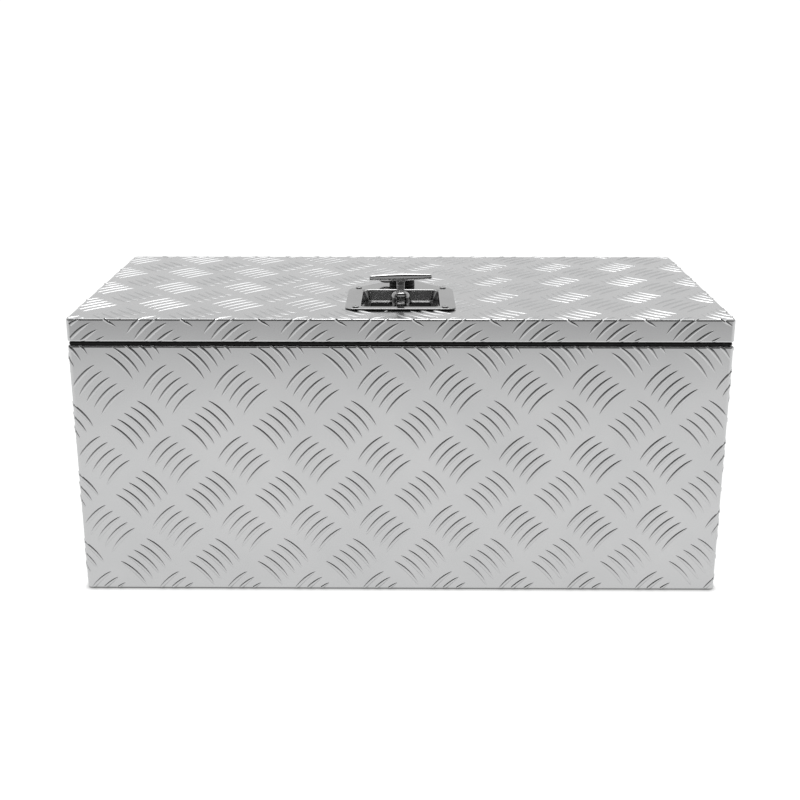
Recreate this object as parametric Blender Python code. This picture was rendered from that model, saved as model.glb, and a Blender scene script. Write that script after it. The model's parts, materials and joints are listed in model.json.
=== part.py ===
"""A tread-plate tool chest for a truck bed: folded body, overlapping lid on a continuous hinge,
T-handle latch in a pressed dish, key lock under a dust cap, and two gas struts.
Metres in the file, millimetres in the constants. +Z up, the front faces -Y, the floor is z = 0."""

import math

import bmesh
import bpy
from mathutils import Matrix, Vector

MM = 0.001

# outside of the chest
WIDTH = 762.0
DEPTH = 334.5
HINGE_OUT = 6.5
Y_FRONT = -(DEPTH + HINGE_OUT) / 2
Y_REAR = Y_FRONT + DEPTH
Y_MID = (Y_FRONT + Y_REAR) / 2
SHEET = 1.6
GAP = 0.3
CORNER_R = 5.0
BEND_R = 2.4
BODY_TOP = 308.3
FLANGE = 20.0
FOOT_HEM = 16.0
LID_BOTTOM = 312.8
LID_TOP = 340.4
LID_HEM = 13.0

# hinge
HINGE_Z = (BODY_TOP + LID_BOTTOM) / 2
HINGE_Y = Y_REAR + 3.5
KNUCKLE_R = 3.0
HINGE_PIN_R = 1.4
LEAF = 1.2
LEAF_H = 22.0
KNUCKLES = 9
HINGE_LENGTH = 716.0

# latch
LATCH_Y = Y_FRONT + 89.1
REST_TURN = 6.0
DISH_SHEET = 1.0
GASKET = 1.0
FLANGE_Z = LID_TOP + GAP + GASKET + GAP
DISH_DEPTH = 15.2
RECESS = (48.8, 43.1)
RECESS_FOOT = (42.0, 40.3)
DISH_FLOOR = FLANGE_Z + DISH_SHEET - DISH_DEPTH
PIVOT_Z = 336.0
HUB_TOP = 350.2
EYE_R = 6.0
SHAFT_R = 6.0
STEM_W = 10.0
STEM_T = 7.0
STEM_LENGTH = 32.8
BAR_LENGTH = 75.5
BAR_H = 9.4
BAR_D = 9.6
CAM_TOP = 303.8
CAM_T = 3.2
CAM_REACH = 77.5
RIVET_X = 52.5
RIVET_Y = (Y_FRONT + 45.0, Y_FRONT + 138.3)

# key lock
KEY_Y = Y_FRONT + 154.7
KEY_X = 1.4
LOCK_R = 9.5
PLUG_R = 6.0

# gas struts: the lid end and the body end, forward of and above the hinge axis
STRUT_X = 343.0
STRUT_LID = (140.0, 10.0)
STRUT_BODY = (30.0, -55.0)
LID_OPEN = 75.0
TUBE_R = 7.0
ROD_R = 3.0

MATERIALS = {
    "tread_plate": ((0.78, 0.79, 0.80), 1.0, 0.34),
    "stainless": ((0.72, 0.72, 0.73), 1.0, 0.16),
    "zinc_steel": ((0.60, 0.61, 0.62), 1.0, 0.38),
    "black_rubber": ((0.02, 0.02, 0.02), 0.0, 0.75),
    "black_plastic": ((0.015, 0.015, 0.016), 0.0, 0.4),
    "black_paint": ((0.02, 0.02, 0.022), 0.0, 0.35),
    "rod_chrome": ((0.80, 0.80, 0.82), 1.0, 0.07),
    "rivet_aluminium": ((0.75, 0.76, 0.77), 1.0, 0.28),
}


def clear_scene():
    for ob in list(bpy.data.objects):
        bpy.data.objects.remove(ob, do_unlink=True)


def material(slot):
    found = bpy.data.materials.get(slot)
    if found:
        return found
    colour, metallic, rough = MATERIALS[slot]
    made = bpy.data.materials.new(slot)
    made.use_nodes = True
    shader = made.node_tree.nodes["Principled BSDF"]
    shader.inputs["Base Color"].default_value = (*colour, 1.0)
    shader.inputs["Metallic"].default_value = metallic
    shader.inputs["Roughness"].default_value = rough
    return made


def piece(name, bm, slot, at=(0, 0, 0)):
    """Makes a node from a mesh drawn in millimetres, with its origin at a point in millimetres."""
    bmesh.ops.recalc_face_normals(bm, faces=bm.faces)
    bm.transform(Matrix.Scale(MM, 4) @ Matrix.Translation(-Vector(at)))
    mesh = bpy.data.meshes.new(name)
    bm.to_mesh(mesh)
    bm.free()
    ob = bpy.data.objects.new(name, mesh)
    ob.location = Vector(at) * MM
    ob.data.materials.append(material(slot))
    bpy.context.scene.collection.objects.link(ob)
    return ob


def cutter(bm):
    """A closed tool body in its own hidden collection."""
    group = bpy.data.collections.get("cutters")
    if not group:
        group = bpy.data.collections.new("cutters")
        bpy.context.scene.collection.children.link(group)
    bmesh.ops.recalc_face_normals(bm, faces=bm.faces)
    bm.transform(Matrix.Scale(MM, 4))
    mesh = bpy.data.meshes.new("cutter")
    bm.to_mesh(mesh)
    bm.free()
    ob = bpy.data.objects.new("cutter", mesh)
    ob.hide_render = True
    ob.display_type = "WIRE"
    group.objects.link(ob)
    return ob


def combine(ob, tool, operation):
    mod = ob.modifiers.new(operation.lower(), "BOOLEAN")
    mod.operation = operation
    mod.solver = "EXACT"
    mod.object = tool


# ---- outlines and solids


def rounded(hx, hy, radius, cx=0.0, cy=0.0, steps=3):
    """A rounded rectangle, counter-clockwise from its right side."""
    points = []
    for i, (sx, sy) in enumerate(((1, 1), (-1, 1), (-1, -1), (1, -1))):
        for k in range(steps + 1):
            a = math.radians(90 * i + 90 * k / steps)
            points.append(
                (
                    cx + sx * (hx - radius) + radius * math.cos(a),
                    cy + sy * (hy - radius) + radius * math.sin(a),
                )
            )
    return points


def circle(radius, cx=0.0, cy=0.0, steps=24):
    return [
        (cx + radius * math.cos(2 * math.pi * k / steps), cy + radius * math.sin(2 * math.pi * k / steps))
        for k in range(steps)
    ]


def loop(bm, points, z):
    return [bm.verts.new((x, y, z)) for x, y in points]


def bridge(bm, a, b):
    for k in range(len(a)):
        m = (k + 1) % len(a)
        bm.faces.new((a[k], a[m], b[m], b[k]))


def fill(bm, loops):
    """Fills the flat region between an outer loop and any hole loops."""
    edges = []
    for ring in loops:
        for k in range(len(ring)):
            a, b = ring[k], ring[(k + 1) % len(ring)]
            edges.append(bm.edges.get((a, b)) or bm.edges.new((a, b)))
    bmesh.ops.triangle_fill(bm, edges=edges, use_beauty=True, use_dissolve=False)


def plate(outline, z0, z1, holes=()):
    """A flat plate with through holes."""
    bm = bmesh.new()
    low = [loop(bm, p, z0) for p in (outline, *holes)]
    high = [loop(bm, p, z1) for p in (outline, *holes)]
    for a, b in zip(low, high):
        bridge(bm, a, b)
    fill(bm, low)
    fill(bm, high)
    return bm


def turned(profile, steps=24):
    """Turns (radius, height) points about Z. Ends on the axis close as poles, otherwise it is a ring."""
    bm = bmesh.new()
    rows = []
    for r, z in profile:
        if r == 0:
            rows.append([bm.verts.new((0, 0, z))])
        else:
            rows.append(loop(bm, circle(r, steps=steps), z))
    pairs = list(zip(rows, rows[1:]))
    if len(rows[0]) > 1:
        pairs.append((rows[-1], rows[0]))
    for a, b in pairs:
        if len(a) == 1 and len(b) == 1:
            continue
        if len(a) == 1 or len(b) == 1:
            pole, ring = (a[0], b) if len(a) == 1 else (b[0], a)
            for k in range(steps):
                bm.faces.new((pole, ring[k], ring[(k + 1) % steps]))
        else:
            bridge(bm, a, b)
    return bm


def swept(section, hx, hy, radius, cy, steps=3):
    """Carries a closed (inset, height) section round a rounded rectangle."""
    bm = bmesh.new()
    rows = []
    for inset, z in section:
        r = max(radius - inset, 0.4)
        rows.append(loop(bm, rounded(hx - inset, hy - inset, r, 0, cy, steps), z))
    for k in range(len(rows)):
        bridge(bm, rows[k], rows[(k + 1) % len(rows)])
    return bm


def arc(cx, cz, radius, start, end, steps=3):
    return [
        (
            cx + radius * math.cos(math.radians(start + (end - start) * k / steps)),
            cz + radius * math.sin(math.radians(start + (end - start) * k / steps)),
        )
        for k in range(steps + 1)
    ]


def placed(bm, x=0.0, y=0.0, z=0.0, turn=None):
    """Turns a tool body about an axis, then moves it."""
    matrix = Matrix.Translation((x, y, z))
    if turn:
        matrix = matrix @ Matrix.Rotation(math.radians(turn[1]), 4, turn[0])
    bm.transform(matrix)
    return bm


def joined(*parts):
    """Several closed bodies in one tool mesh, for a boolean."""
    bm = bmesh.new()
    for part in parts:
        mesh = bpy.data.meshes.new("part")
        part.to_mesh(mesh)
        bm.from_mesh(mesh)
        part.free()
        bpy.data.meshes.remove(mesh)
    return bm


def rod(radius, length, x, y, z, axis="Z", steps=16):
    """A plain cylinder centred on a point."""
    bm = turned([(0, -length / 2), (radius, -length / 2), (radius, length / 2), (0, length / 2)], steps)
    turn = {"X": ("Y", 90), "Y": ("X", 90), "Z": None}[axis]
    return placed(bm, x, y, z, turn)


def rivet(name, x, y, z, outward, grip, slot="rivet_aluminium", head=3.2, shank=1.6):
    """A domed rivet. Its head sits on the near face at the point; outward is the way the head faces."""
    profile = [
        (0, 1.5),
        (head * 0.45, 1.35),
        (head * 0.8, 0.9),
        (head, 0.3),
        (head, GAP / 2),
        (shank, GAP / 2),
        (shank, -grip - GAP),
        (shank + 0.9, -grip - GAP),
        (shank + 0.7, -grip - GAP - 1.1),
        (0, -grip - GAP - 1.3),
    ]
    bm = turned([(r, h + GAP / 2) for r, h in profile], 10)
    bm.transform(Vector((0, 0, 1)).rotation_difference(Vector(outward)).to_matrix().to_4x4())
    bm.transform(Matrix.Translation((x, y, z)))
    return piece(name, bm, slot)


# ---- body


def body_section():
    """Inward foot hem, wall and inward top flange of the folded body, from outside to inside."""
    out = [(FOOT_HEM, 0.0)]
    out += [(BEND_R - c, BEND_R + s) for c, s in arc(0, 0, BEND_R, -90, 0)]
    out += [(BEND_R - c, BODY_TOP - BEND_R + s) for c, s in arc(0, 0, BEND_R, 0, 90)]
    out += [(FLANGE, BODY_TOP), (FLANGE, BODY_TOP - SHEET)]
    inner = BEND_R - SHEET
    out += [(BEND_R - c, BODY_TOP - BEND_R + s) for c, s in arc(0, 0, inner, 90, 0)]
    out += [(BEND_R - c, BEND_R + s) for c, s in arc(0, 0, inner, 0, -90)]
    out += [(FOOT_HEM, SHEET)]
    return out


STRIKER_RIVETS = [(-35.0, Y_FRONT + 16.6), (35.0, Y_FRONT + 16.6)]
HINGE_RIVETS = [-300.0, -100.0, 100.0, 300.0]
STRUT_BODY_Y = HINGE_Y - STRUT_BODY[0]
STRUT_BODY_Z = HINGE_Z + STRUT_BODY[1]
STRUT_LID_Y = HINGE_Y - STRUT_LID[0]
STRUT_LID_Z = HINGE_Z + STRUT_LID[1]
BODY_RIVET_Z = HINGE_Z - 14.5
LID_RIVET_Z = HINGE_Z + 14.5


def make_body():
    hx, hy = WIDTH / 2, DEPTH / 2
    wrap = piece("body_wrap", swept(body_section(), hx, hy, CORNER_R, Y_MID), "tread_plate")
    holes = [rod(1.9, 8, x, y, BODY_TOP, "Z", 12) for x, y in STRIKER_RIVETS]
    holes += [rod(1.9, 8, x, Y_REAR, BODY_RIVET_Z, "Y", 12) for x in HINGE_RIVETS]
    combine(wrap, cutter(joined(*holes)), "DIFFERENCE")

    inset = SHEET + GAP + 0.4
    low = SHEET + GAP
    outline = rounded(hx - inset, hy - inset, CORNER_R - SHEET, 0, Y_MID)
    bm = plate(outline, low, low + SHEET)
    # the foot bend rises past the panel's edge, so the edge stops at the bend's tangent
    bmesh.ops.scale(
        bm,
        verts=bm.verts,
        vec=((hx - BEND_R - GAP) / (hx - inset), (hy - BEND_R - GAP) / (hy - inset), 1),
        space=Matrix.Translation((0, -Y_MID, 0)),
    )
    piece("floor_panel", bm, "tread_plate")

    seal = [(2.6, BODY_TOP + GAP), (13.0, BODY_TOP + GAP), (13.0, LID_BOTTOM - GAP - 0.9)]
    seal += [(11.6, LID_BOTTOM - GAP), (4.0, LID_BOTTOM - GAP), (2.6, LID_BOTTOM - GAP - 0.9)]
    seal = [(max(i, BEND_R + 0.2), z) for i, z in seal]
    piece("body_seal", swept(seal, hx, hy, CORNER_R, Y_MID), "black_rubber")

    top = BODY_TOP - SHEET - GAP
    outline = rounded(42, 7, 2, 0, Y_FRONT + 13.2, 3)
    holes = [circle(1.9, x, y, 12) for x, y in STRIKER_RIVETS]
    piece("striker_plate", plate(outline, top - 2.0, top, holes), "zinc_steel")
    for (x, y), side in zip(STRIKER_RIVETS, ("left", "right")):
        rivet("striker_rivet_" + side, x, y, BODY_TOP, (0, 0, 1), SHEET + 2.0 + GAP)


# ---- hinge


def leaf(side):
    """One hinge leaf: a strip up or down the rear face with every other knuckle curled on."""
    x0, x1 = -HINGE_LENGTH / 2, HINGE_LENGTH / 2
    y0, y1 = Y_REAR + GAP, Y_REAR + GAP + LEAF
    near, far = HINGE_Z + side * (KNUCKLE_R + GAP), HINGE_Z + side * LEAF_H
    rivet_z = LID_RIVET_Z if side > 0 else BODY_RIVET_Z
    outline = [(x0, min(near, far)), (x1, min(near, far)), (x1, max(near, far)), (x0, max(near, far))]
    holes = [circle(1.9, x, rivet_z, 12) for x in HINGE_RIVETS]
    bm = plate(outline, -y1, -y0, holes)
    bm.transform(Matrix.Rotation(math.radians(90), 4, "X"))
    pitch = HINGE_LENGTH / KNUCKLES
    first = 0 if side < 0 else 1
    lugs = []
    for k in range(first, KNUCKLES, 2):
        a, b = x0 + k * pitch + 0.3, x0 + (k + 1) * pitch - 0.3
        ring = turned(
            [(HINGE_PIN_R + 0.06, a), (KNUCKLE_R, a), (KNUCKLE_R, b), (HINGE_PIN_R + 0.06, b)], 24
        )
        lugs.append(placed(ring, 0, HINGE_Y, HINGE_Z, ("Y", 90)))
        web_low, web_high = sorted((HINGE_Z + side * 1.4, near + side * 0.5))
        web = [(a, web_low), (b, web_low), (b, web_high), (a, web_high)]
        strip = plate(web, -(y1 - 0.02), -(y0 + 0.02))
        strip.transform(Matrix.Rotation(math.radians(90), 4, "X"))
        lugs.append(strip)
    return bm, lugs


def make_hinge():
    for side, name in ((-1, "hinge_leaf_body"), (1, "hinge_leaf_lid")):
        bm, lugs = leaf(side)
        ob = piece(name, bm, "zinc_steel")
        for ring, web in zip(lugs[::2], lugs[1::2]):
            combine(ob, cutter(web), "UNION")
            combine(ob, cutter(ring), "UNION")
    pin = rod(HINGE_PIN_R, HINGE_LENGTH, 0, HINGE_Y, HINGE_Z, "X", 24)
    piece("hinge_pin", pin, "zinc_steel", (0, HINGE_Y, HINGE_Z))
    y = Y_REAR + GAP + LEAF
    for k, x in enumerate(HINGE_RIVETS):
        rivet("hinge_rivet_body_" + str(k + 1), x, y, BODY_RIVET_Z, (0, 1, 0), LEAF + SHEET + GAP)
        rivet("hinge_rivet_lid_" + str(k + 1), x, y, LID_RIVET_Z, (0, 1, 0), LEAF + SHEET + GAP)


# ---- lid


def lid_rows(outer):
    """Rings of one face of the lid, from the hem's edge round to the flat top."""
    thin = 0 if outer else SHEET
    low = LID_BOTTOM + BEND_R
    high = LID_TOP - BEND_R
    rows = [(LID_HEM, LID_BOTTOM + thin)]
    rows += [(BEND_R - c, low + s) for c, s in arc(0, 0, BEND_R - thin, -90, 0)]
    rows += [(BEND_R - c, high + s) for c, s in arc(0, 0, BEND_R - thin, 0, 90)]
    return rows


def make_lid():
    hx, hy = WIDTH / 2, DEPTH / 2
    bm = bmesh.new()
    faces = []
    for outer in (True, False):
        rings = []
        for inset, z in lid_rows(outer):
            r = max(CORNER_R - inset, 0.4)
            rings.append(loop(bm, rounded(hx - inset, hy - inset, r, 0, Y_MID), z))
        for a, b in zip(rings, rings[1:]):
            bridge(bm, a, b)
        z = LID_TOP if outer else LID_TOP - SHEET
        holes = [loop(bm, rounded(50.5, 44.8, 8, 0, LATCH_Y), z)]
        holes.append(loop(bm, circle(LOCK_R + 0.5, KEY_X, KEY_Y), z))
        holes += [loop(bm, circle(1.9, sx * RIVET_X, y, 12), z) for sx in (-1, 1) for y in RIVET_Y]
        fill(bm, [rings[-1], *holes])
        faces.append((rings[0], holes))
    bridge(bm, faces[0][0], faces[1][0])
    for a, b in zip(faces[0][1], faces[1][1]):
        bridge(bm, a, b)
    pan = piece("lid_pan", bm, "tread_plate")
    holes = [rod(1.9, 8, x, Y_REAR, LID_RIVET_Z, "Y", 12) for x in HINGE_RIVETS]
    combine(pan, cutter(joined(*holes)), "DIFFERENCE")

    # hat channel across the inside of the lid, behind the lock
    z = LID_TOP - SHEET - GAP
    h, w, f = 14.0, 22.0, 12.0
    y = Y_FRONT + 230.0
    hat = [(-w - f, z), (-w - f, z - 1.2), (-w + 0.2, z - 1.2), (-w + 3, z - h), (w - 3, z - h)]
    hat += [(w - 0.2, z - 1.2), (w + f, z - 1.2), (w + f, z), (w - 1.0, z), (w - 3.9, z - h + 1.2)]
    hat += [(-w + 3.9, z - h + 1.2), (-w + 1.0, z)]
    bm = plate([(a, b) for a, b in hat], -345, 345)
    # the section is drawn in (y, z) and runs along x
    bm.transform(Matrix(((0, 0, 1, 0), (1, 0, 0, y), (0, 1, 0, 0), (0, 0, 0, 1))))
    piece("lid_stiffener", bm, "zinc_steel")


# ---- latch dish, gasket, shaft and cam


def tongue(margin=0.0):
    """Outline of the dish's flange: wide at the handle, with a tapered tongue behind for the lock."""
    half = [(65, 124.7), (64.2, 130.7), (61.8, 136.1), (55, 142.3), (48, 147.5), (38.3, 156.1), (26.8, 167.2)]
    half += [(20, 173.7), (15.5, 176.7), (11, 177.7)]
    half = [(x - margin * 0.8, y - margin) for x, y in half]
    front = [(65 - r * (1 - math.sin(a)) - margin, 37.4 + r * (1 - math.cos(a)) + margin)
             for r, a in ((9.0, math.radians(t)) for t in (0, 30, 60, 90))]
    right = front + half
    left = [(-x, y) for x, y in reversed(right)]
    return [(x, Y_FRONT + y) for x, y in right + left]


def make_dish():
    y = LATCH_Y
    top = FLANGE_Z + DISH_SHEET
    bm = bmesh.new()
    ends = []
    for upper in (True, False):
        z = top if upper else FLANGE_Z
        s = 0.0 if upper else DISH_SHEET
        floor = DISH_FLOOR - s
        ro, ri = (3.0, 4.0) if upper else (2.0, 5.0)
        rows = []
        # shoulder bend, drafted wall, floor bend
        for k in range(5):
            a = math.radians(75 * k / 4)
            run = s * 0.4 - ro * math.sin(a)
            rows.append((RECESS[0] + run, RECESS[1] + run, z - ro * (1 - math.cos(a))))
        for k in range(5):
            a = math.radians(75 - 75 * k / 4)
            run = s * 0.6 - ri + ri * math.sin(a)
            rows.append((RECESS_FOOT[0] + run, RECESS_FOOT[1] + run, floor + ri * (1 - math.cos(a))))
        rings = []
        for hx, hy, height in rows:
            rings.append(loop(bm, rounded(hx, hy, 9 - (RECESS[0] - hx) * 0.25, 0, y), height))
        for a, b in zip(rings, rings[1:]):
            bridge(bm, a, b)
        outer = loop(bm, tongue(), z)
        holes = [loop(bm, circle(LOCK_R + 0.3, KEY_X, KEY_Y), z)]
        holes += [loop(bm, circle(1.9, sx * RIVET_X, ry, 12), z) for sx in (-1, 1) for ry in RIVET_Y]
        fill(bm, [outer, rings[0], *holes])
        eye = loop(bm, circle(SHAFT_R + 0.5, 0, LATCH_Y), floor)
        fill(bm, [rings[-1], eye])
        ends.append([outer, eye, *holes])
    for a, b in zip(*ends):
        bridge(bm, a, b)
    piece("latch_dish", bm, "stainless")

    holes = [rounded(50.4, 44.7, 8, 0, y), circle(LOCK_R + 0.5, KEY_X, KEY_Y)]
    holes += [circle(2.1, sx * RIVET_X, ry, 12) for sx in (-1, 1) for ry in RIVET_Y]
    bm = plate(tongue(0.8), LID_TOP + GAP, LID_TOP + GAP + GASKET, holes)
    piece("dish_gasket", bm, "black_rubber")
    for k, (sx, ry) in enumerate(((-1, 0), (1, 0), (-1, 1), (1, 1))):
        grip = top - LID_TOP + SHEET
        rivet("dish_rivet_" + str(k + 1), sx * RIVET_X, RIVET_Y[ry], top, (0, 0, 1), grip, "stainless", 3.6)

    low = DISH_FLOOR - DISH_SHEET - GAP
    bush = [(SHAFT_R + 0.06, low - 12), (11, low - 12), (11, low - 3), (15, low - 3), (15, low)]
    bush += [(SHAFT_R + 0.06, low)]
    piece("shaft_bushing", placed(turned(bush, 32), 0, LATCH_Y, 0), "zinc_steel")


DISC_TOP = DISH_FLOOR - DISH_SHEET - GAP - 12 - GAP
DISC_T = 3.0
TOOTH = 27.5


def on_rotor(bm):
    """Sets a piece drawn round the shaft's axis in place, at the angle the handle rests at."""
    return placed(bm, 0, LATCH_Y, 0, ("Z", REST_TURN))


def make_rotor():
    base = DISH_FLOOR + GAP
    top = HUB_TOP
    dome = [(0, CAM_TOP - CAM_T - 6), (SHAFT_R, CAM_TOP - CAM_T - 6), (SHAFT_R, base), (11.4, base)]
    dome += [(11.4, top - 6.4), (10.9, top - 3.9), (9.6, top - 1.8), (7.8, top - 0.5), (6.0, top), (0, top)]
    ob = piece("handle_hub", on_rotor(turned(dome, 32)), "stainless", (0, LATCH_Y, PIVOT_Z))
    w = STEM_W / 2 + 0.35
    slot = plate([(-w, -20), (w, -20), (w, 20), (-w, 20)], PIVOT_Z - EYE_R - 0.5, top + 5)
    combine(ob, cutter(on_rotor(slot)), "DIFFERENCE")
    combine(ob, cutter(on_rotor(rod(1.86, 40, 0, 0, PIVOT_Z, "X", 24))), "DIFFERENCE")
    tip = 12.4
    pin = [(0, -tip - 1.4), (1.9, -tip - 1.2), (2.9, -tip - 0.4), (2.9, -tip + 0.7), (1.8, -tip + 0.7)]
    pin += [(r, -z) for r, z in reversed(pin)]
    bm = on_rotor(placed(turned(pin, 24), 0, 0, PIVOT_Z, ("Y", 90)))
    piece("pivot_pin", bm, "black_paint", (0, LATCH_Y, PIVOT_Z))

    # lock disc: one tooth that the key's lever stands in front of once the handle is turned shut
    outline = []
    for k in range(72):
        bearing = 5.0 * k
        toothed = abs(bearing - TOOTH) <= 10
        r = 20.0 if toothed else 11.0
        outline.append((r * math.cos(math.radians(bearing)), r * math.sin(math.radians(bearing))))
    disc = plate(outline, DISC_TOP - DISC_T, DISC_TOP, [circle(SHAFT_R + GAP)])
    piece("lock_disc", on_rotor(disc), "zinc_steel", (0, LATCH_Y, PIVOT_Z))

    spacer = [(SHAFT_R + GAP, CAM_TOP + GAP), (9, CAM_TOP + GAP)]
    spacer += [(9, DISC_TOP - DISC_T - GAP), (SHAFT_R + GAP, DISC_TOP - DISC_T - GAP)]
    piece("cam_spacer", on_rotor(turned(spacer)), "zinc_steel", (0, LATCH_Y, PIVOT_Z))

    # latch cam, pointing to the left while the latch is open
    arm = [(12 * math.cos(math.radians(a)), 12 * math.sin(math.radians(a))) for a in range(-120, 121, 15)]
    arm += [(-CAM_REACH + 3, 9), (-CAM_REACH, 6), (-CAM_REACH, -6), (-CAM_REACH + 3, -9)]
    cam = plate(arm, CAM_TOP - CAM_T, CAM_TOP, [circle(SHAFT_R + GAP)])
    piece("latch_cam", on_rotor(cam), "zinc_steel", (0, LATCH_Y, PIVOT_Z))
    low = CAM_TOP - CAM_T - GAP
    nut = plate(circle(10.4, steps=6), low - 5, low, [circle(SHAFT_R + GAP)])
    piece("cam_nut", on_rotor(nut), "zinc_steel", (0, LATCH_Y, PIVOT_Z))


def make_handle():
    half = BAR_LENGTH / 2
    # lozenge-ended grip bar, thinner towards its ends
    stations = [(-half, 0.62), (-half + 1.5, 0.74), (-half + 12, 0.86), (-12, 1.0)]
    stations += [(-x, s) for x, s in reversed(stations)]
    bm = bmesh.new()
    rows = []
    for x, s in stations:
        h, d = BAR_H / 2 * s, BAR_D / 2 * (0.5 + 0.5 * s)
        section = rounded(d, h, min(h, d) * 0.62, steps=3)
        rows.append([bm.verts.new((x, a, PIVOT_Z + STEM_LENGTH + b)) for a, b in section])
    for a, b in zip(rows, rows[1:]):
        bridge(bm, a, b)
    fill(bm, [rows[0]])
    fill(bm, [rows[-1]])
    ob = piece("t_handle", on_rotor(bm), "stainless", (0, LATCH_Y, PIVOT_Z))
    top = PIVOT_Z + STEM_LENGTH
    stem = plate(rounded(STEM_W / 2 - 0.03, STEM_T / 2, 2.2, steps=3), PIVOT_Z + 8, top)
    combine(ob, cutter(on_rotor(stem)), "UNION")
    # the eye round the pivot: thicker than the stem, round below and shouldered above
    eye = [(EYE_R * math.cos(math.radians(a)), EYE_R * math.sin(math.radians(a))) for a in range(180, 361, 15)]
    eye += [(EYE_R, 10.0), (EYE_R - 0.5, 12.0), (EYE_R - 1.4, 13.4), (STEM_T / 2 - 0.7, 14.4)]
    eye += [(-y, z) for y, z in reversed(eye[-4:])]
    eye = plate(eye, -STEM_W / 2, STEM_W / 2)
    # drawn in (y, z) and run along x
    eye.transform(Matrix(((0, 0, 1, 0), (1, 0, 0, 0), (0, 1, 0, PIVOT_Z), (0, 0, 0, 1))))
    combine(ob, cutter(on_rotor(eye)), "UNION")
    combine(ob, cutter(on_rotor(rod(1.86, 40, 0, 0, PIVOT_Z, "X", 24))), "DIFFERENCE")


# ---- key lock


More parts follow.
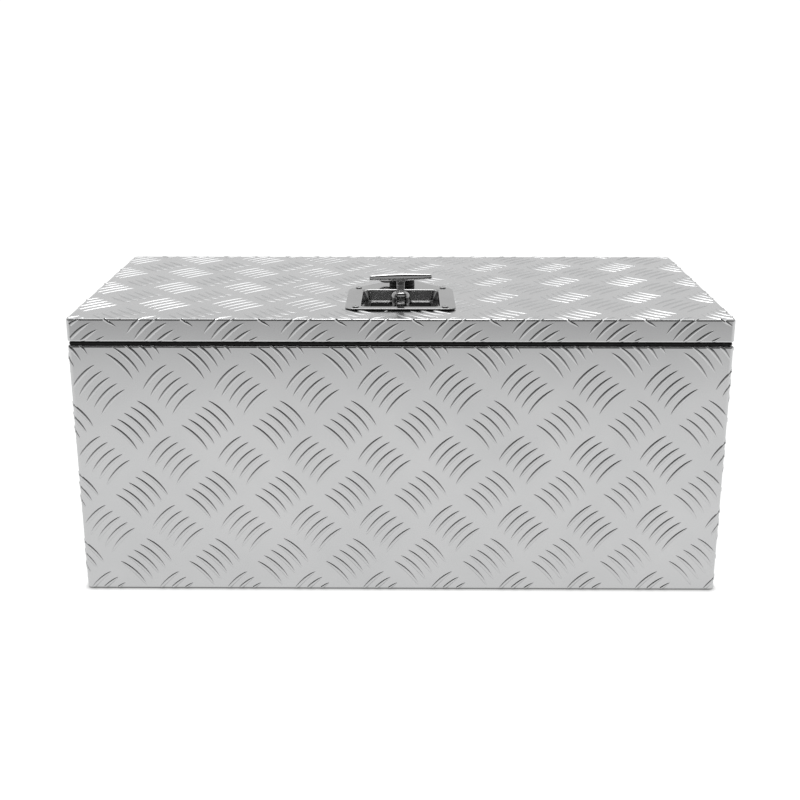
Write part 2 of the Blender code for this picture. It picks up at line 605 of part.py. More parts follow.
def make_lock():
    top = FLANGE_Z + DISH_SHEET
    at = (KEY_X, KEY_Y, top)
    bore = PLUG_R + 0.06
    low = DISC_TOP + 3.0
    house = [(bore, low), (LOCK_R, low), (LOCK_R, top + GAP), (13.0, top + GAP), (13.0, top + 2.2)]
    house += [(12.0, top + 3.0), (bore, top + 3.0)]
    piece("lock_housing", placed(turned(house, 32), KEY_X, KEY_Y, 0), "stainless", at)
    z = LID_TOP - SHEET - GAP
    nut = plate(circle(14.5, steps=6), z - 4, z, [circle(LOCK_R + GAP)])
    piece("lock_nut", placed(nut, KEY_X, KEY_Y, 0), "zinc_steel", at)

    plug = [(0, DISC_TOP - DISC_T - 0.2), (3.0, DISC_TOP - DISC_T - 0.2), (3.0, low - 1.5), (PLUG_R, low - 1.5)]
    plug += [(PLUG_R, top + 2.6), (0, top + 2.6)]
    ob = piece("lock_plug", placed(turned(plug, 32), KEY_X, KEY_Y, 0), "stainless", at)
    key_slot = [(-0.8, -4.2), (0.8, -4.2), (0.8, 4.2), (-0.8, 4.2)]
    combine(ob, cutter(placed(plate(key_slot, top - 16, top + 6), KEY_X, KEY_Y, 0)), "DIFFERENCE")
    reach = KEY_Y - LATCH_Y - 14.5
    arm = [(7.5 * math.cos(math.radians(a)), 7.5 * math.sin(math.radians(a))) for a in range(45, 316, 15)]
    arm += [(reach - 10, -4.5), (reach, -3.0), (reach, 3.0), (reach - 10, 4.5)]
    bm = plate(arm, DISC_TOP - DISC_T + 0.5, DISC_TOP - 0.5, [circle(3.3, steps=16)])
    piece("lock_cam", placed(bm, KEY_X, KEY_Y, 0), "zinc_steel", at)
    z = DISC_TOP - DISC_T - 0.2 - GAP
    nut = turned([(0, z - 2.4), (4.2, z - 2.0), (5.0, z - 1.0), (5.0, z), (0, z)], 12)
    piece("lock_cam_screw", placed(nut, KEY_X, KEY_Y, 0), "zinc_steel", at)

    # moulded base ring under the lock's rim, with two ears behind it for the cap's pin
    z0, z1 = top + 3.0 + GAP, top + 6.0
    hinge_y, hinge_z = KEY_Y + 17.8, z1 + 0.4
    ring = [(13.3, top + GAP), (15.9, top + GAP), (15.9, top + 3.2), (13.3, top + 3.2)]
    ob = piece("cap_collar", placed(turned(ring, 32), KEY_X, KEY_Y, 0), "black_plastic", at)
    for s in (-1, 1):
        low, tall = top + GAP + 0.02, hinge_z + 2.4
        ear = [(-4.3, low), (2.6, low), (2.6, tall - 1.4), (1.2, tall), (-1.2, tall)]
        ear += [(-2.2, tall - 1.4), (-2.2, top + 3.1), (-4.3, top + 3.1)]
        ear = plate(ear, -1.4, 1.4)
        ear.transform(Matrix(((0, 0, 1, KEY_X + s * 6.4), (1, 0, 0, hinge_y), (0, 1, 0, 0), (0, 0, 0, 1))))
        combine(ob, cutter(ear), "UNION")
    combine(ob, cutter(rod(1.0 + GAP, 30, KEY_X, hinge_y, hinge_z, "X", 16)), "DIFFERENCE")
    pin = rod(1.0, 15.2, KEY_X, hinge_y, hinge_z, "X", 16)
    piece("cap_pin", pin, "zinc_steel", (KEY_X, hinge_y, hinge_z))

    # cap: a shallow cup over the lock, a knuckle between the ears and a curled lift tab at its left
    cup = [(0, z1 + 7.4), (9.0, z1 + 7.2), (13.4, z1 + 6.4), (15.3, z1 + 4.6), (15.6, z1 + 2.0), (15.6, z0 + 0.6)]
    cup += [(13.4, z0 + 0.6), (13.4, z1 + 2.6), (0, z1 + 2.6)]
    ob = piece("dust_cap", placed(turned(cup, 32), KEY_X, KEY_Y, 0), "black_rubber", (KEY_X, hinge_y, hinge_z))
    arm = [(-3.6, hinge_z - 1.6), (1.4, hinge_z - 1.9), (2.2, hinge_z), (1.4, hinge_z + 1.9)]
    arm = plate(arm + [(-3.6, hinge_z + 2.6)], -4.6, 4.6)
    arm.transform(Matrix(((0, 0, 1, KEY_X), (1, 0, 0, hinge_y), (0, 1, 0, 0), (0, 0, 0, 1))))
    combine(ob, cutter(arm), "UNION")
    tab = []
    for k in range(9):
        t = k / 8
        x = -15.2 * (1 - t) ** 2 - 2 * 24.5 * t * (1 - t) - 29.2 * t * t
        z = 5.0 * (1 - t) ** 2 + 2 * 3.4 * t * (1 - t) + 7.6 * t * t
        tab.append((x, z - 0.85 + 0.35 * t, z + 0.85 - 0.35 * t))
    curl = [(x, top - 0.6 + a) for x, a, b in tab] + [(x, top - 0.6 + b) for x, a, b in reversed(tab)]
    tab = plate(curl, -4.5, 4.5)
    tab.transform(Matrix(((1, 0, 0, KEY_X), (0, 0, 1, KEY_Y), (0, 1, 0, 0), (0, 0, 0, 1))))
    combine(ob, cutter(tab), "UNION")
    combine(ob, cutter(rod(1.0 + 0.06, 30, KEY_X, hinge_y, hinge_z, "X", 16)), "DIFFERENCE")


# ---- gas struts


def make_struts():
    dy, dz = STRUT_LID_Y - STRUT_BODY_Y, STRUT_LID_Z - STRUT_BODY_Z
    length = math.hypot(dy, dz)
    tilt = math.degrees(math.atan2(-dy, dz))
    body_at = (STRUT_BODY_Y, STRUT_BODY_Z)
    lid_at = (STRUT_LID_Y, STRUT_LID_Z)
    wall = WIDTH / 2 - SHEET - GAP
    for side, name in ((-1, "left"), (1, "right")):
        x = side * STRUT_X

        def laid(bm, x=x):
            """Strut drawn up Z from its lower ball; leans forward to its rest angle."""
            return placed(bm, x, *body_at, ("X", tilt))

        # body bracket: plate welded to the end wall, standoff and ball stud
        outline = rounded(9, 21, 4, body_at[0], body_at[1], 3)
        bm = plate(outline, 0, 2.0)
        bm.transform(Matrix(((0, 0, -side, side * wall), (1, 0, 0, 0), (0, 1, 0, 0), (0, 0, 0, 1))))
        ob = piece("strut_bracket_body_" + name, bm, "zinc_steel")
        stud = [(0, 1.0), (5.5, 1.0), (5.5, wall - STRUT_X - 7.5), (2.6, wall - STRUT_X - 5.5)]
        stud += [(2.6, wall - STRUT_X - 3.0), (4.3, wall - STRUT_X - 1.6), (4.6, wall - STRUT_X)]
        stud += [(3.6, wall - STRUT_X + 2.2), (0, wall - STRUT_X + 3.1)]
        stud = placed(turned(stud, 16), side * wall, *body_at, ("Y", -90 * side))
        combine(ob, cutter(stud), "UNION")

        # lid bracket: an angle welded inside the lid's skirt, with the upper stud
        outline = rounded(14, 7.5, 3, lid_at[0], lid_at[1] + 4.6, 3)
        bm = plate(outline, 0, 2.0)
        bm.transform(Matrix(((0, 0, -side, side * wall), (1, 0, 0, 0), (0, 1, 0, 0), (0, 0, 0, 1))))
        ob = piece("strut_bracket_lid_" + name, bm, "zinc_steel")
        reach = wall - STRUT_X - 6.6
        stud = turned([(0, 1.0), (5.5, 1.0), (5.5, reach - 4), (4.0, reach), (0, reach)], 16)
        combine(ob, cutter(placed(stud, side * wall, *lid_at, ("Y", -90 * side))), "UNION")

        # rod with its socket on the body's ball
        bm = laid(turned([(0, 9.5), (ROD_R, 9.5), (ROD_R, length - 26), (0, length - 26)], 16))
        piece("strut_rod_" + name, bm, "rod_chrome", (x, *body_at))
        bm = turned([(0, 5.6), (4.9, 5.6), (5.3, 12.0), (4.2, 17.0), (0, 17.0)], 16)
        ob = piece("strut_rod_end_" + name, laid(bm), "black_plastic", (x, *body_at))
        drum = rod(7.0, 11.0, x, *body_at, "X", 24)
        combine(ob, cutter(drum), "UNION")
        bore = turned([(0, 0), (5.0, 0), (5.0, 10.2), (0, 10.2)], 18)
        bore = placed(bore, side * (STRUT_X + 6.5), *body_at, ("Y", -90 * side))
        combine(ob, cutter(bore), "DIFFERENCE")
        seat = laid(turned([(0, 9.2), (ROD_R + GAP, 9.2), (ROD_R + GAP, 30), (0, 30)], 16))
        combine(ob, cutter(seat), "DIFFERENCE")

        # pressure tube, open at the rod end, and its upper fitting
        low = 33.0
        tube = [(ROD_R + 0.06, low), (TUBE_R - 1.2, low), (TUBE_R, low + 1.5), (TUBE_R, length - 21)]
        tube += [(TUBE_R - 1.0, length - 20), (0, length - 20), (0, length - 22), (TUBE_R - 1.0, length - 22)]
        tube += [(TUBE_R - 1.0, low + 8.0), (ROD_R + 0.06, low + 8.0)]
        bm = bmesh.new()
        rows = [[bm.verts.new((0, 0, z))] if r == 0 else loop(bm, circle(r, steps=20), z) for r, z in tube]
        pairs = [(rows[k], rows[(k + 1) % len(rows)]) for k in range(len(rows))]
        for a, b in pairs:
            if len(a) == 1 and len(b) == 1:
                continue
            if len(a) == 1 or len(b) == 1:
                pole, ring = (a[0], b) if len(a) == 1 else (b[0], a)
                for k in range(20):
                    bm.faces.new((pole, ring[k], ring[(k + 1) % 20]))
            else:
                bridge(bm, a, b)
        piece("strut_tube_" + name, laid(bm), "black_paint", (x, *body_at))
        low = length - 20 + GAP
        bm = turned([(0, low), (4.8, low), (5.2, length - 9), (4.6, length - 3), (0, length - 3)], 16)
        ob = piece("strut_tube_end_" + name, laid(bm), "black_plastic", (x, *body_at))
        combine(ob, cutter(rod(6.4, 12.0, x, *lid_at, "X", 20)), "UNION")


clear_scene()
make_body()
make_hinge()
make_lid()
make_dish()
make_rotor()
make_handle()
make_lock()
make_struts()
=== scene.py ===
"""Looks of the tread-plate tool chest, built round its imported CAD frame.
Metres in the file, millimetres in the shapes. +Z up, the front faces -Y, the floor is z = 0."""

import json
import math

import bmesh
import bpy
from mathutils import Matrix, Vector


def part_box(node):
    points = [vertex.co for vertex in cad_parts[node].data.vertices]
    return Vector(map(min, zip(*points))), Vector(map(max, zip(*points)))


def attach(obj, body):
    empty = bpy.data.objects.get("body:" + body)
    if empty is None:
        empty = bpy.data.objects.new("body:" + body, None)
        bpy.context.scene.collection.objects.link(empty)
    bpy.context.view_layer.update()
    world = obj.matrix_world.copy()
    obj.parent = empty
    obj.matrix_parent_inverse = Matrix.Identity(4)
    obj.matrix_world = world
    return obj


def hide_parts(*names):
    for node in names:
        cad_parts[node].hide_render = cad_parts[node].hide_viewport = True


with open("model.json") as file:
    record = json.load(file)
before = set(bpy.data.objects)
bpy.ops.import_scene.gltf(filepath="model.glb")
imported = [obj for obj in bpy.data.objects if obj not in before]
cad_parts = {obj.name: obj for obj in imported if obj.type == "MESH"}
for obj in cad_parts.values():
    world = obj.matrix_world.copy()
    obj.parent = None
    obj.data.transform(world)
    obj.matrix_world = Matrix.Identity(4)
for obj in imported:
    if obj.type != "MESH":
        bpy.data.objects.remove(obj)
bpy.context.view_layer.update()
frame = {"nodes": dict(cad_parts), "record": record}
MM = 0.001


def box_mm(*nodes):
    """Lowest and highest corner, in millimetres, of a CAD node at rest."""
    return [[v / MM for v in corner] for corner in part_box(*nodes)]


# ---- sizes, from the frame

(BODY_X0, Y_FRONT, _), (BODY_X1, Y_REAR, BODY_TOP) = box_mm("body_wrap")
LID_BOTTOM = box_mm("lid_pan")[0][2]
LID_TOP = box_mm("lid_pan")[1][2]
HALF_W = (BODY_X1 - BODY_X0) / 2
HALF_D = (Y_REAR - Y_FRONT) / 2
Y_MID = (Y_FRONT + Y_REAR) / 2
SHEET = 1.6
CORNER_R = 5.0
BEND_R = 2.4
FLANGE = 20.0
FOOT_HEM = 16.0
FOOT_R = 2.0
LID_HEM = 13.0
LEAF_LOW = box_mm("hinge_leaf_body")[0][2]
LEAF_HIGH = box_mm("hinge_leaf_lid")[1][2]
LEAF_HALF = box_mm("hinge_leaf_lid")[1][0]


# ---- mesh helpers


def rounded(hx, hy, radius, cx=0.0, cy=0.0, steps=8):
    """A rounded rectangle, counter-clockwise from its right side."""
    points = []
    for i, (sx, sy) in enumerate(((1, 1), (-1, 1), (-1, -1), (1, -1))):
        for k in range(steps + 1):
            a = math.radians(90 * i + 90 * k / steps)
            x = cx + sx * (hx - radius) + radius * math.cos(a)
            points.append((x, cy + sy * (hy - radius) + radius * math.sin(a)))
    return points


def circle(radius, cx=0.0, cy=0.0, steps=64):
    angles = [2 * math.pi * k / steps for k in range(steps)]
    return [(cx + radius * math.cos(a), cy + radius * math.sin(a)) for a in angles]


def arc(cx, cz, radius, start, end, steps=8):
    angles = [math.radians(start + (end - start) * k / steps) for k in range(steps + 1)]
    return [(cx + radius * math.cos(a), cz + radius * math.sin(a)) for a in angles]


def loop(bm, points, z):
    return [bm.verts.new((x, y, z)) for x, y in points]


def bridge(bm, a, b):
    for k in range(len(a)):
        m = (k + 1) % len(a)
        bm.faces.new((a[k], a[m], b[m], b[k]))


def fill(bm, loops):
    """Fills the flat region between an outer loop and any hole loops."""
    edges = []
    for ring in loops:
        for k in range(len(ring)):
            a, b = ring[k], ring[(k + 1) % len(ring)]
            edges.append(bm.edges.get((a, b)) or bm.edges.new((a, b)))
    bmesh.ops.triangle_fill(bm, edges=edges, use_beauty=True, use_dissolve=False)


def turned(profile, steps=48):
    """Turns (radius, height) points about Z. Ends on the axis close as poles, otherwise it is a ring."""
    bm = bmesh.new()
    rows = []
    for r, z in profile:
        rows.append(loop(bm, circle(r, steps=steps), z) if r else [bm.verts.new((0, 0, z))])
    pairs = list(zip(rows, rows[1:]))
    if len(rows[0]) > 1:
        pairs.append((rows[-1], rows[0]))
    for a, b in pairs:
        if len(a) == 1 and len(b) == 1:
            continue
        if len(a) == 1 or len(b) == 1:
            pole, ring = (a[0], b) if len(a) == 1 else (b[0], a)
            for k in range(steps):
                bm.faces.new((pole, ring[k], ring[(k + 1) % steps]))
        else:
            bridge(bm, a, b)
    return bm


def plate(outline, z0, z1, holes=()):
    """A flat plate with through holes."""
    bm = bmesh.new()
    low = [loop(bm, p, z0) for p in (outline, *holes)]
    high = [loop(bm, p, z1) for p in (outline, *holes)]
    for a, b in zip(low, high):
        bridge(bm, a, b)
    fill(bm, low)
    fill(bm, high)
    return bm


def lofted(sections):
    """Closed rows of points joined end to end and capped."""
    bm = bmesh.new()
    rows = [[bm.verts.new(point) for point in row] for row in sections]
    for a, b in zip(rows, rows[1:]):
        bridge(bm, a, b)
    bm.faces.new(rows[0])
    bm.faces.new(rows[-1])
    return bm


def moved(bm, x=0.0, y=0.0, z=0.0, axis=None, angle=0.0):
    """Turns a body about an axis through the origin, then moves it."""
    matrix = Matrix.Translation((x, y, z))
    if axis:
        matrix = matrix @ Matrix.Rotation(math.radians(angle), 4, axis)
    bm.transform(matrix)
    return bm


def crosswise(bm, x=0.0, y=0.0):
    """Stands a plate drawn in (y, z) on edge, so that its thickness runs along X."""
    bm.transform(Matrix(((0, 0, 1, x), (1, 0, 0, y), (0, 1, 0, 0), (0, 0, 0, 1))))
    return bm


def joined(*parts):
    bm = bmesh.new()
    for part in parts:
        mesh = bpy.data.meshes.new("part")
        part.to_mesh(mesh)
        part.free()
        bm.from_mesh(mesh)
        bpy.data.meshes.remove(mesh)
    return bm


def carved(*bodies):
    """The first body less all the others."""
    made = []
    for body in bodies:
        bmesh.ops.recalc_face_normals(body, faces=body.faces)
        mesh = bpy.data.meshes.new("tool")
        body.to_mesh(mesh)
        body.free()
        made.append(bpy.data.objects.new("tool", mesh))
        bpy.context.scene.collection.objects.link(made[-1])
    for tool in made[1:]:
        cut = made[0].modifiers.new("cut", "BOOLEAN")
        cut.operation, cut.solver, cut.object = "DIFFERENCE", "EXACT", tool
    bm = bmesh.new()
    bm.from_object(made[0], bpy.context.evaluated_depsgraph_get())
    for ob in made:
        bpy.data.objects.remove(ob, do_unlink=True)
    return bm


def smoothstep(low, high, x):
    t = min(max((x - low) / (high - low), 0.0), 1.0)
    return t * t * (3 - 2 * t)


def finish_piece(name, bm, slot, body, nodes=(), sharp=32.0, look=None, fuse=0.0):
    """Turns a mesh drawn in millimetres into a smooth-shaded piece that rides on a body."""
    bmesh.ops.recalc_face_normals(bm, faces=bm.faces)
    bm.transform(Matrix.Scale(MM, 4))
    limit = math.radians(sharp)
    for face in bm.faces:
        face.smooth = True
    for edge in bm.edges:
        edge.smooth = len(edge.link_faces) == 2 and edge.calc_face_angle(0.0) < limit
    mesh = bpy.data.meshes.new(name)
    bm.to_mesh(mesh)
    bm.free()
    ob = bpy.data.objects.new(name, mesh)
    bpy.context.scene.collection.objects.link(ob)
    mesh.materials.append(MATERIALS[look or slot])
    if fuse:
        # melts overlapping bodies into one cast or moulded skin
        melt = ob.modifiers.new("fuse", "REMESH")
        melt.mode = "VOXEL"
        melt.voxel_size = fuse * MM
        melt.use_smooth_shade = True
        soften = ob.modifiers.new("soften", "SMOOTH")
        soften.factor = 0.6
        soften.iterations = 6
    else:
        weighted = ob.modifiers.new("normals", "WEIGHTED_NORMAL")
        weighted.keep_sharp = True
    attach(ob, body)
    if nodes:
        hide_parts(*nodes)
    return ob


# ---- materials


class Nodes:
    """A small helper that adds nodes to a material and links them by name."""

    def __init__(self, name):
        self.material = bpy.data.materials.new(name + "_look")
        self.material.use_nodes = True
        self.tree = self.material.node_tree
        self.shader = self.tree.nodes["Principled BSDF"]
        coords = self.tree.nodes.new("ShaderNodeTexCoord")
        self.where = coords.outputs["Object"]

    def link(self, a, b):
        self.tree.links.new(a, b)

    def stretched(self, scale):
        node = self.tree.nodes.new("ShaderNodeMapping")
        node.inputs["Scale"].default_value = scale
        self.link(self.where, node.inputs["Vector"])
        return node.outputs["Vector"]

    def noise(self, scale, detail=3.0, rough=0.5, vector=None):
        node = self.tree.nodes.new("ShaderNodeTexNoise")
        node.inputs["Scale"].default_value = scale
        node.inputs["Detail"].default_value = detail
        node.inputs["Roughness"].default_value = rough
        self.link(vector or self.where, node.inputs["Vector"])
        return node.outputs["Fac"]

    def ramp(self, value, stops):
        """Maps a 0..1 value through (position, grey or colour) stops."""
        node = self.tree.nodes.new("ShaderNodeValToRGB")
        ramp = node.color_ramp
        while len(ramp.elements) < len(stops):
            ramp.elements.new(0.5)
        for element, (place, colour) in zip(ramp.elements, stops):
            element.position = place
            grey = (colour,) * 3 if isinstance(colour, (int, float)) else colour
            element.color = (*grey, 1.0)
        self.link(value, node.inputs["Fac"])
        return node.outputs["Color"]

    def span(self, value, low, high):
        """Spreads a 0..1 value over low..high."""
        node = self.tree.nodes.new("ShaderNodeMapRange")
        node.inputs["To Min"].default_value = low
        node.inputs["To Max"].default_value = high
        self.link(value, node.inputs["Value"])
        return node.outputs["Result"]

    def bump(self, *layers):
        """Stacks (height, distance in metres, strength) bumps and feeds the shader's normal."""
        normal = None
        for height, distance, strength in layers:
            node = self.tree.nodes.new("ShaderNodeBump")
            node.inputs["Distance"].default_value = distance
            node.inputs["Strength"].default_value = strength
            self.link(height, node.inputs["Height"])
            if normal:
                self.link(normal, node.inputs["Normal"])
            normal = node.outputs["Normal"]
        self.link(normal, self.shader.inputs["Normal"])

    def into(self, socket, value):
        if hasattr(value, "is_linked"):
            self.link(value, self.shader.inputs[socket])
        else:
            self.shader.inputs[socket].default_value = value


def tread_plate():
    """Bright rolled aluminium: a fine rolling grain, faint waviness and slight staining."""
    m = Nodes("tread_plate")
    stain = m.noise(9.0, 4.0, 0.6)
    m.into("Base Color", m.ramp(stain, [(0.3, (0.505, 0.508, 0.511)), (0.7, (0.54, 0.541, 0.543))]))
    m.into("Metallic", 1.0)
    grain = m.noise(900.0, 2.0, 0.6, m.stretched((0.12, 1.0, 1.0)))
    m.into("Roughness", m.span(m.noise(12.0, 3.0, 0.5), 0.17, 0.25))
    wave = m.noise(10.0, 1.0, 0.4)
    m.bump((wave, 0.0006, 0.2), (grain, 0.000006, 0.3))
    return m.material


def stainless(name, shade):
    """Polished stainless steel with light smears and very fine polishing lines."""
    m = Nodes(name)
    m.into("Base Color", m.ramp(m.noise(40.0, 3.0), [(0.3, shade * 0.95), (0.7, shade * 1.05)]))
    m.into("Metallic", 1.0)
    m.into("Roughness", m.span(m.noise(60.0, 4.0, 0.6), 0.09, 0.15))
    lines = m.noise(1400.0, 2.0, 0.5, m.stretched((0.08, 1.0, 1.0)))
    m.bump((lines, 0.000002, 0.3))
    return m.material


def zinc_steel():
    """Zinc-plated steel: slightly spangled and satin."""
    m = Nodes("zinc_steel")
    shades = [(0.3, (0.52, 0.53, 0.55)), (0.7, (0.66, 0.66, 0.65))]
    m.into("Base Color", m.ramp(m.noise(120.0, 4.0, 0.7), shades))
    m.into("Metallic", 1.0)
    m.into("Roughness", m.span(m.noise(80.0, 4.0, 0.6), 0.26, 0.42))
    m.bump((m.noise(700.0, 2.0), 0.00003, 0.4))
    return m.material


def rivet_aluminium():
    m = Nodes("rivet_aluminium")
    m.into("Base Color", m.ramp(m.noise(150.0, 3.0), [(0.3, 0.66), (0.7, 0.76)]))
    m.into("Metallic", 1.0)
    m.into("Roughness", m.span(m.noise(200.0, 3.0), 0.2, 0.32))
    m.bump((m.noise(900.0, 2.0), 0.00002, 0.4))
    return m.material


def dark(name, shade, rough, grain_scale, grain_height):
    """A black non-metal: moulded rubber or plastic, or paint, with a fine grain."""
    m = Nodes(name)
    m.into("Specular IOR Level", 0.3)
    m.into("Base Color", m.ramp(m.noise(60.0, 4.0, 0.6), [(0.3, shade * 0.8), (0.7, shade * 1.3)]))
    m.into("Roughness", m.span(m.noise(90.0, 3.0), *rough))
    m.bump((m.noise(grain_scale, 3.0, 0.6), grain_height, 0.6))
    return m.material


def rod_chrome():
    m = Nodes("rod_chrome")
    m.into("Base Color", m.ramp(m.noise(80.0, 2.0), [(0.3, 0.74), (0.7, 0.8)]))
    m.into("Metallic", 1.0)
    m.into("Roughness", m.span(m.noise(120.0, 3.0), 0.04, 0.1))
    m.bump((m.noise(1500.0, 1.0), 0.000005, 0.4))
    return m.material


MATERIALS = {
    "tread_plate": tread_plate(),
    "stainless": stainless("stainless", 0.56),
    # painted shade: a darker copy of the same stainless, standing in for the darker reflections on the
    # latch flange, its rivet heads and the hub
    "stainless_painted_shade": stainless("stainless_painted_shade", 0.33),
    "zinc_steel": zinc_steel(),
    "rivet_aluminium": rivet_aluminium(),
    "rod_chrome": rod_chrome(),
    "black_rubber": dark("black_rubber", 0.009, (0.55, 0.75), 600.0, 0.00004),
    "black_plastic": dark("black_plastic", 0.018, (0.38, 0.5), 900.0, 0.00003),
    "black_paint": dark("black_paint", 0.014, (0.2, 0.32), 400.0, 0.00002),
}
SLOTS = {part["node"]: part["material_slot"] for part in frame["record"]["subparts"]}
for node, ob in frame["nodes"].items():
    ob.data.materials.clear()
    ob.data.materials.append(MATERIALS[SLOTS[node]])


# ---- tread pattern: five bowed bars in a group, the groups alternating like a chequerboard

PITCH_ROLL = 87.76
PITCH_CROSS = 82.69
BAR_COUNT = 5
BAR_STEP = 11.1
BAR_LENGTH = 44.0
BAR_WIDTH = 5.0
BAR_HEIGHT = 1.0
BAR_BOW = 2.6
BAR_ANGLE = 47.3
SINK = 0.25
# across the bar: share of the half width, and share of the height
BAR_SECTION = [(-1.0, None), (-0.85, 0.36), (-0.6, 0.68), (-0.3, 0.92), (0.0, 1.0)]
BAR_SECTION += [(-share, rise) for share, rise in reversed(BAR_SECTION[:-1])]
STATIONS = 11


def bar_runs(inside, centre, along, across, bow):
    """The stretches of a bar, as (start, end) from -1 to 1, whose spine lies on the sheet."""
    runs, start, steps = [], None, 48
    for k in range(steps + 1):
        t = -1 + 2 * k / steps
        ok = inside(*spine(t, centre, along, across, bow))
        if ok and start is None:
            start = t
        if start is not None and (not ok or k == steps):
            end = t if ok else t - 2 / steps
            if end - start > 0.12:
                runs.append((start, end))
            start = None
    return runs


def spine(t, centre, along, across, bow):
    d, o = t * BAR_LENGTH / 2, bow * (1 - t * t)
    return (centre[0] + along[0] * d + across[0] * o, centre[1] + along[1] * d + across[1] * o)


def add_bar(bm, place, inside, centre, angle, bow):
    """One raised bar, closed underneath, its foot sunk just below the sheet's face."""
    a = math.radians(angle)
    along, across = (math.cos(a), math.sin(a)), (-math.sin(a), math.cos(a))
    for start, end in bar_runs(inside, centre, along, across, bow):
        rows = []
        for k in range(STATIONS):
            s = k / (STATIONS - 1)
            s -= 0.08 * math.sin(2 * math.pi * s)
            t = start + (end - start) * s
            x, y = spine(t, centre, along, across, bow)
            reach = max(1 - abs(t) ** 2.4, 0.0)
            half = BAR_WIDTH / 2 * max(reach**0.62, 0.05)
            tall = BAR_HEIGHT * max(reach**0.5, 0.08)
            row = []
            for share, rise in BAR_SECTION:
                u, v = x + across[0] * half * share, y + across[1] * half * share
                h = -SINK if rise is None else rise * (tall + SINK) - SINK
                row.append(bm.verts.new(place(u, v, h)))
            rows.append(row)
        for low, high in zip(rows, rows[1:]):
            for i in range(len(low)):
                j = (i + 1) % len(low)
                bm.faces.new((low[i], low[j], high[j], high[i]))
        bm.faces.new(rows[0])
        bm.faces.new(rows[-1])


def add_pattern(bm, place, inside, slash, back, reach, turned=False, lean=0.0):
    """Covers a sheet with both kinds of bar group. slash and back are one centre of each kind."""
    pu, pv = (PITCH_ROLL, PITCH_CROSS) if turned else (PITCH_CROSS, PITCH_ROLL)
    kinds = ((slash, BAR_ANGLE, BAR_BOW), (back, 180 - BAR_ANGLE, -BAR_BOW))
    if turned:
        kinds = ((slash, 90 - BAR_ANGLE, BAR_BOW), (back, 90 + BAR_ANGLE, BAR_BOW))
    (u0, v0), (u1, v1) = reach
    for (cu, cv), angle, bow in kinds:
        a = math.radians(angle)
        across = (-math.sin(a), math.cos(a))
        for i in range(math.floor((u0 - cu) / pu) - 1, math.ceil((u1 - cu) / pu) + 2):
            for j in range(math.floor((v0 - cv) / pv) - 1, math.ceil((v1 - cv) / pv) + 2):
                for k in range(BAR_COUNT):
                    o = (k - (BAR_COUNT - 1) / 2) * BAR_STEP
                    u = cu + i * pu + across[0] * o
                    centre = (u, cv + j * pv + across[1] * o + lean * u)
                    add_bar(bm, place, inside, centre, angle, bow)


# ---- body: one folded sheet round the front and ends, a second one at the rear

QUARTER = math.pi / 2 * CORNER_R
FRONT_HALF = HALF_W - CORNER_R
SIDE_RUN = 2 * (HALF_D - CORNER_R)
TO_REAR = FRONT_HALF + 2 * QUARTER + SIDE_RUN


def round_plan(u):
    """(x, y, outward x, outward y) at a distance u round the body from the middle of its front."""
    side, s = (1 if u >= 0 else -1), abs(u)
    if s <= FRONT_HALF:
        return side * s, Y_FRONT, 0.0, -1.0
    s -= FRONT_HALF
    if s <= QUARTER:
        a = s / CORNER_R
        x, y = FRONT_HALF + CORNER_R * math.sin(a), Y_FRONT + CORNER_R * (1 - math.cos(a))
        return side * x, y, side * math.sin(a), -math.cos(a)
    s -= QUARTER
    if s <= SIDE_RUN:
        return side * HALF_W, Y_FRONT + CORNER_R + s, side * 1.0, 0.0
    s -= SIDE_RUN
    if s <= QUARTER:
        a = s / CORNER_R
        x, y = FRONT_HALF + CORNER_R * math.cos(a), Y_REAR - CORNER_R * (1 - math.sin(a))
        return side * x, y, side * math.cos(a), math.sin(a)
    s -= QUARTER
    return side * (FRONT_HALF - s), Y_REAR, 0.0, 1.0


def body_place(u, z, h):
    """A point on the body's outer face, u round it and z up it, raised by h along the face's normal."""
    x, y, nx, ny = round_plan(u)
    top, low = z - (BODY_TOP - BEND_R), FOOT_R - z
    over = max(top, low)
    if over <= 0:
        return (x + nx * h, y + ny * h, z)
    bend = BEND_R if top > 0 else FOOT_R
    a = min(over / bend, math.pi / 2)
    inset = bend * (1 - math.cos(a)) + max(over - bend * a, 0)
    if h > 0:
        h *= 1 - (smoothstep(2.4, 4.6, over) if top > 0 else smoothstep(0.2, 1.2, over))
    out = h * math.cos(a) - inset
    rise = math.sin(a) * (bend + h)
    height = BODY_TOP - BEND_R + rise if top > 0 else FOOT_R - rise
    return (x + nx * out, y + ny * out, height)


def rear_place(u, z, h):
    """The same for the rear sheet, u measured along X."""
    return body_place((1 if u >= 0 else -1) * (TO_REAR + FRONT_HALF - abs(u)), z, h)


def on_front_sheet(u, z):
    return abs(u) < TO_REAR - QUARTER * 0.6 and 1.0 < z < BODY_TOP + 2.0


def on_rear_sheet(u, z):
    if abs(u) < LEAF_HALF + 2 and z > LEAF_LOW - 1:
        return False
    return abs(u) < FRONT_HALF - 1 and 1.0 < z < BODY_TOP + 2.0


def wall_section():
    """Foot hem, wall and top flange as (inset, height), from the outside round to the inside."""
    out = [(FOOT_HEM, 0.0)]
    out += [(FOOT_R - c, FOOT_R + s) for c, s in arc(0, 0, FOOT_R, -90, 0)]
    out += [(BEND_R - c, BODY_TOP - BEND_R + s) for c, s in arc(0, 0, BEND_R, 0, 90)]
    out += [(FLANGE, BODY_TOP), (FLANGE, BODY_TOP - SHEET)]
    inner = BEND_R - SHEET
    out += [(BEND_R - c, BODY_TOP - BEND_R + s) for c, s in arc(0, 0, inner, 90, 0, 5)]
    out += [(FOOT_R - c, FOOT_R + s) for c, s in arc(0, 0, FOOT_R - SHEET, 0, -90, 5)]
    out += [(FOOT_HEM, SHEET)]
    return out


